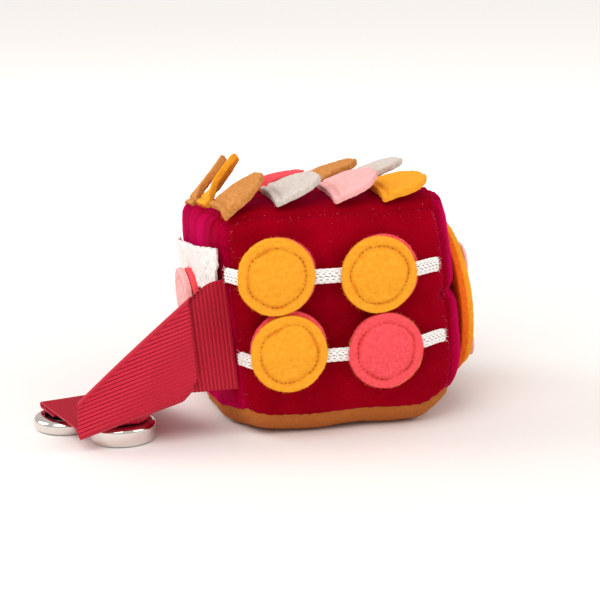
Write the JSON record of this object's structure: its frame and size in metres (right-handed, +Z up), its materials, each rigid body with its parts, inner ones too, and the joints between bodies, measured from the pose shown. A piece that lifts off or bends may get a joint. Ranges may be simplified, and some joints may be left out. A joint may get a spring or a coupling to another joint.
{
  "type": "soft activity block",
  "caption": "Stuffed velvet cube with felt discs sliding on knitted cords, felt flaps on top, a felt rosette and a folded ribbon strap with a magnetic clasp.",
  "frame": {"origin": "centre of the flat face the cube stands on", "axes": "+Z up, the face with the cords and discs towards -Y, the ribbon strap towards -X"},
  "size_m": [0.1587, 0.091, 0.093],
  "materials": {
    "velvet": "crimson short pile velvet",
    "tan_cloth": "tan woven cloth",
    "stuffing": "white fibre filling",
    "white_knit": "white knitted cotton",
    "marigold_felt": "marigold felt",
    "orange_felt": "orange felt",
    "coral_felt": "coral felt",
    "tan_felt": "tan felt",
    "grey_felt": "warm grey felt",
    "pink_felt": "pale pink felt",
    "ribbon": "crimson grosgrain",
    "chrome": "polished",
    "magnet": "dark plated",
    "steel": "zinc plated"
  },
  "bodies": {
    "block": {"stuffing": "stuffing", "front_panel": "velvet", "back_panel": "velvet", "left_panel": "velvet", "right_panel": "velvet", "top_panel": "velvet", "bottom_panel": "tan_cloth", "upper_cord": "white_knit", "lower_cord": "white_knit", "side_cord": "white_knit", "side_band": "white_knit", "rosette_base": "orange_felt", "rosette_top": "marigold_felt"},
    "upper_left_disc": {"upper_left_disc_front": "marigold_felt", "upper_left_disc_back": "coral_felt"},
    "upper_right_disc": {"upper_right_disc_front": "marigold_felt", "upper_right_disc_back": "coral_felt"},
    "lower_left_disc": {"lower_left_disc_front": "marigold_felt", "lower_left_disc_back": "coral_felt"},
    "lower_right_disc": {"lower_right_disc_front": "coral_felt", "lower_right_disc_back": "marigold_felt"},
    "side_disc": {"side_disc_outer": "pink_felt", "side_disc_inner": "coral_felt"},
    "front_flap_1": {"front_flap_1": "tan_felt"},
    "front_flap_2": {"front_flap_2": "grey_felt"},
    "front_flap_3": {"front_flap_3": "pink_felt"},
    "front_flap_4": {"front_flap_4": "marigold_felt"},
    "middle_flap_1": {"middle_flap_1": "marigold_felt"},
    "middle_flap_2": {"middle_flap_2": "coral_felt"},
    "middle_flap_3": {"middle_flap_3": "tan_felt"},
    "middle_flap_4": {"middle_flap_4": "grey_felt"},
    "back_flap_1": {"back_flap_1": "tan_felt"},
    "back_flap_2": {"back_flap_2": "grey_felt"},
    "back_flap_3": {"back_flap_3": "pink_felt"},
    "back_flap_4": {"back_flap_4": "coral_felt"},
    "petal_1": {"petal_1": "pink_felt"},
    "petal_2": {"petal_2": "pink_felt"},
    "petal_3": {"petal_3": "pink_felt"},
    "petal_4": {"petal_4": "pink_felt"},
    "strap": {"strap_ribbon": "ribbon", "near_clasp_case": "chrome", "near_clasp_magnet": "magnet", "near_clasp_washer": "steel", "far_clasp_case": "chrome", "far_clasp_magnet": "magnet", "far_clasp_washer": "steel"}
  },
  "joints": [
    {"name": "upper_left_disc_slide", "type": "slide", "parent": "block", "child": "upper_left_disc", "axis": [1, 0, 0], "range_m": [0, 0.0084]},
    {"name": "upper_right_disc_slide", "type": "slide", "parent": "block", "child": "upper_right_disc", "axis": [1, 0, 0], "range_m": [-0.0084, 0.0026]},
    {"name": "lower_left_disc_slide", "type": "slide", "parent": "block", "child": "lower_left_disc", "axis": [1, 0, 0], "range_m": [0, 0.0072]},
    {"name": "lower_right_disc_slide", "type": "slide", "parent": "block", "child": "lower_right_disc", "axis": [1, 0, 0], "range_m": [-0.0072, 0.0036]},
    {"name": "side_disc_slide", "type": "slide", "parent": "block", "child": "side_disc", "axis": [0, 1, 0], "range_m": [-0.014, 0.014]},
    {"name": "front_flap_1_hinge", "type": "hinge", "parent": "block", "child": "front_flap_1", "pos_m": [-0.0392, -0.0256, 0.07707], "axis": [0, -0.9934, 0.1144], "range_deg": [-8, 34], "stiffness_Nm_per_rad": 0.004},
    {"name": "front_flap_2_hinge", "type": "hinge", "parent": "block", "child": "front_flap_2", "pos_m": [-0.0219, -0.0256, 0.08032], "axis": [0, -0.9997, 0.0262], "range_deg": [-6, 34], "stiffness_Nm_per_rad": 0.004},
    {"name": "front_flap_3_hinge", "type": "hinge", "parent": "block", "child": "front_flap_3", "pos_m": [-0.0019, -0.0256, 0.08058], "axis": [0, -1, 0], "range_deg": [-4, 34], "stiffness_Nm_per_rad": 0.004},
    {"name": "front_flap_4_hinge", "type": "hinge", "parent": "block", "child": "front_flap_4", "pos_m": [0.0149, -0.0256, 0.08056], "axis": [0, -1, 0], "range_deg": [-4, 26], "stiffness_Nm_per_rad": 0.004},
    {"name": "middle_flap_1_hinge", "type": "hinge", "parent": "block", "child": "middle_flap_1", "pos_m": [-0.0392, 0, 0.07422], "axis": [0, -0.9863, 0.1652], "range_deg": [-8, 34], "stiffness_Nm_per_rad": 0.004},
    {"name": "middle_flap_2_hinge", "type": "hinge", "parent": "block", "child": "middle_flap_2", "pos_m": [-0.0219, 0, 0.07992], "axis": [0, -0.9927, 0.121], "range_deg": [-3, 34], "stiffness_Nm_per_rad": 0.004},
    {"name": "middle_flap_3_hinge", "type": "hinge", "parent": "block", "child": "middle_flap_3", "pos_m": [-0.0019, 0, 0.08094], "axis": [0, -0.9946, 0.1037], "range_deg": [-4, 34], "stiffness_Nm_per_rad": 0.004},
    {"name": "middle_flap_4_hinge", "type": "hinge", "parent": "block", "child": "middle_flap_4", "pos_m": [0.0149, 0, 0.08091], "axis": [0, -0.9946, 0.1035], "range_deg": [-4, 26], "stiffness_Nm_per_rad": 0.004},
    {"name": "back_flap_1_hinge", "type": "hinge", "parent": "block", "child": "back_flap_1", "pos_m": [-0.0392, 0.0256, 0.07106], "axis": [0, -0.9984, -0.056], "range_deg": [-3, 34], "stiffness_Nm_per_rad": 0.004},
    {"name": "back_flap_2_hinge", "type": "hinge", "parent": "block", "child": "back_flap_2", "pos_m": [-0.0219, 0.0256, 0.0753], "axis": [0, -0.9975, 0.0703], "range_deg": [-3, 34], "stiffness_Nm_per_rad": 0.004},
    {"name": "back_flap_3_hinge", "type": "hinge", "parent": "block", "child": "back_flap_3", "pos_m": [-0.0019, 0.0256, 0.07629], "axis": [0, -0.9967, 0.0813], "range_deg": [-3, 30], "stiffness_Nm_per_rad": 0.004},
    {"name": "back_flap_4_hinge", "type": "hinge", "parent": "block", "child": "back_flap_4", "pos_m": [0.0149, 0.0256, 0.07628], "axis": [0, -0.9967, 0.0808], "range_deg": [-3, 20], "stiffness_Nm_per_rad": 0.004},
    {"name": "petal_1_hinge", "type": "hinge", "parent": "block", "child": "petal_1", "pos_m": [0.05152, 0.00936, 0.04386], "axis": [0, 0.7071, -0.7071], "range_deg": [0, 26], "stiffness_Nm_per_rad": 0.004},
    {"name": "petal_2_hinge", "type": "hinge", "parent": "block", "child": "petal_2", "pos_m": [0.05152, -0.00336, 0.04386], "axis": [0, 0.7071, 0.7071], "range_deg": [0, 26], "stiffness_Nm_per_rad": 0.004},
    {"name": "petal_3_hinge", "type": "hinge", "parent": "block", "child": "petal_3", "pos_m": [0.05279, -0.00336, 0.03114], "axis": [0, -0.7071, 0.7071], "range_deg": [0, 26], "stiffness_Nm_per_rad": 0.004},
    {"name": "petal_4_hinge", "type": "hinge", "parent": "block", "child": "petal_4", "pos_m": [0.05279, 0.00936, 0.03114], "axis": [0, -0.7071, -0.7071], "range_deg": [0, 26], "stiffness_Nm_per_rad": 0.004},
    {"name": "strap_hinge", "type": "hinge", "parent": "block", "child": "strap", "pos_m": [-0.03771, -0.03653, 0], "axis": [0, 0, 1], "range_deg": [-4, 18]}
  ]
}
